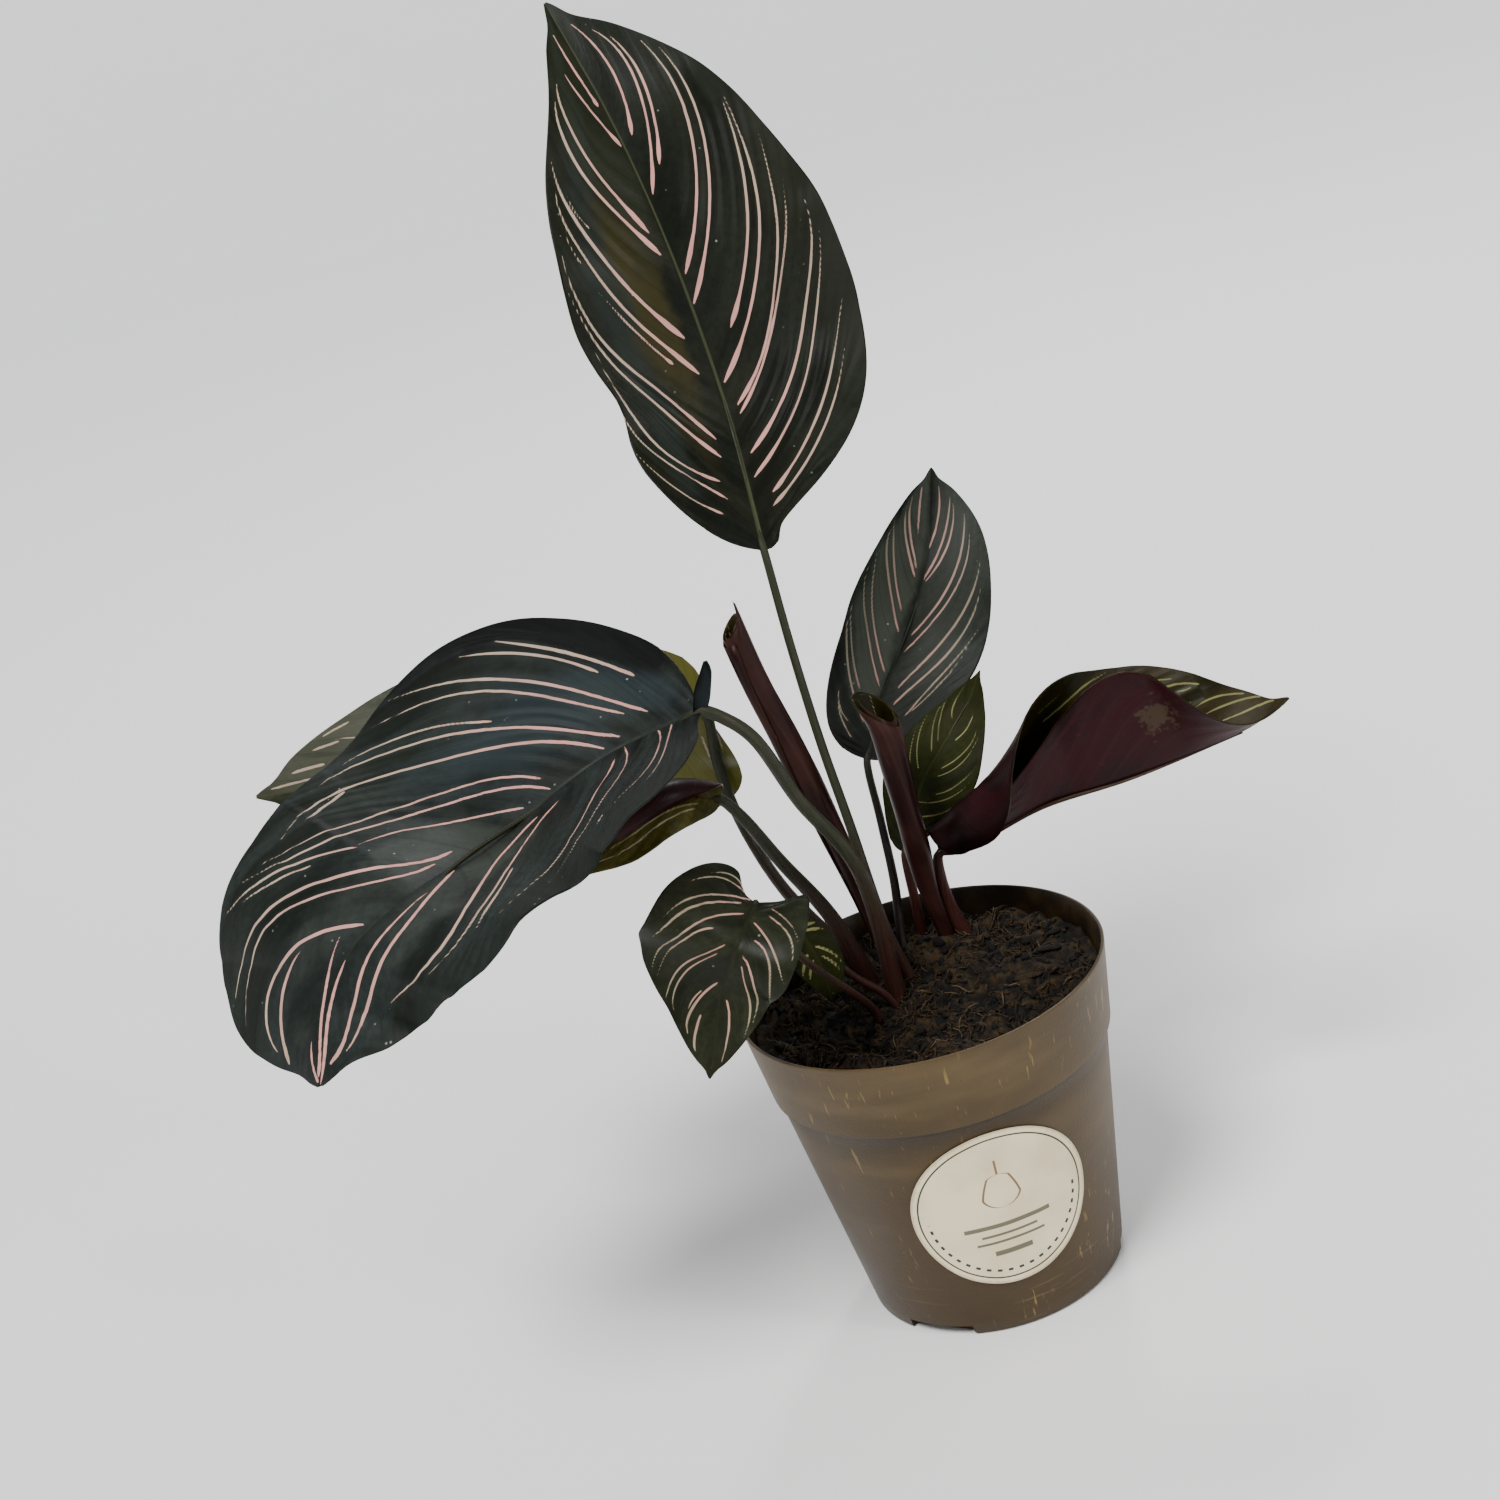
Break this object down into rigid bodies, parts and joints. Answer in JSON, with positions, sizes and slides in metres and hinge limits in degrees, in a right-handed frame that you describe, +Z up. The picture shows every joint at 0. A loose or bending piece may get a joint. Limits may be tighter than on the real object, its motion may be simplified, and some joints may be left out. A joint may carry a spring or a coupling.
{
  "type": "potted plant",
  "caption": "Pinstripe calathea with dark oval leaves, fine pink lines and purple undersides, growing from potting mix in a tapered round nursery pot with a round sticker.",
  "frame": {"origin": "middle of the pot's flat underside", "axes": "+Z up along the pot's axis, -Y towards the side with the sticker, +X to the right seen from that side"},
  "size_m": [0.345, 0.2075, 0.4222],
  "materials": {
    "leaf_dark": "semi-gloss leaf, dark green above with pale pink lines, purple below",
    "leaf_green": "satin leaf, olive green with cream lines",
    "leaf_purple": "satin underside of a rolled leaf, purple-brown",
    "pot_plastic": "matte moulded plastic, taupe brown",
    "mix": "loose fibrous potting mix, dark brown",
    "sticker_paper": "smooth cream label paper"
  },
  "bodies": {
    "root": {"leaf_tall": "leaf_dark", "leaf_left": "leaf_dark", "leaf_back": "leaf_dark", "leaf_low": "leaf_dark", "leaf_mid": "leaf_dark", "leaf_small": "leaf_green", "leaf_right": "leaf_purple", "leaf_front": "leaf_dark", "leaf_hidden": "leaf_green", "rolled_leaf_tall": "leaf_purple", "rolled_leaf_short": "leaf_purple", "pot": "pot_plastic", "potting_mix": "mix", "sticker": "sticker_paper"}
  },
  "joints": []
}
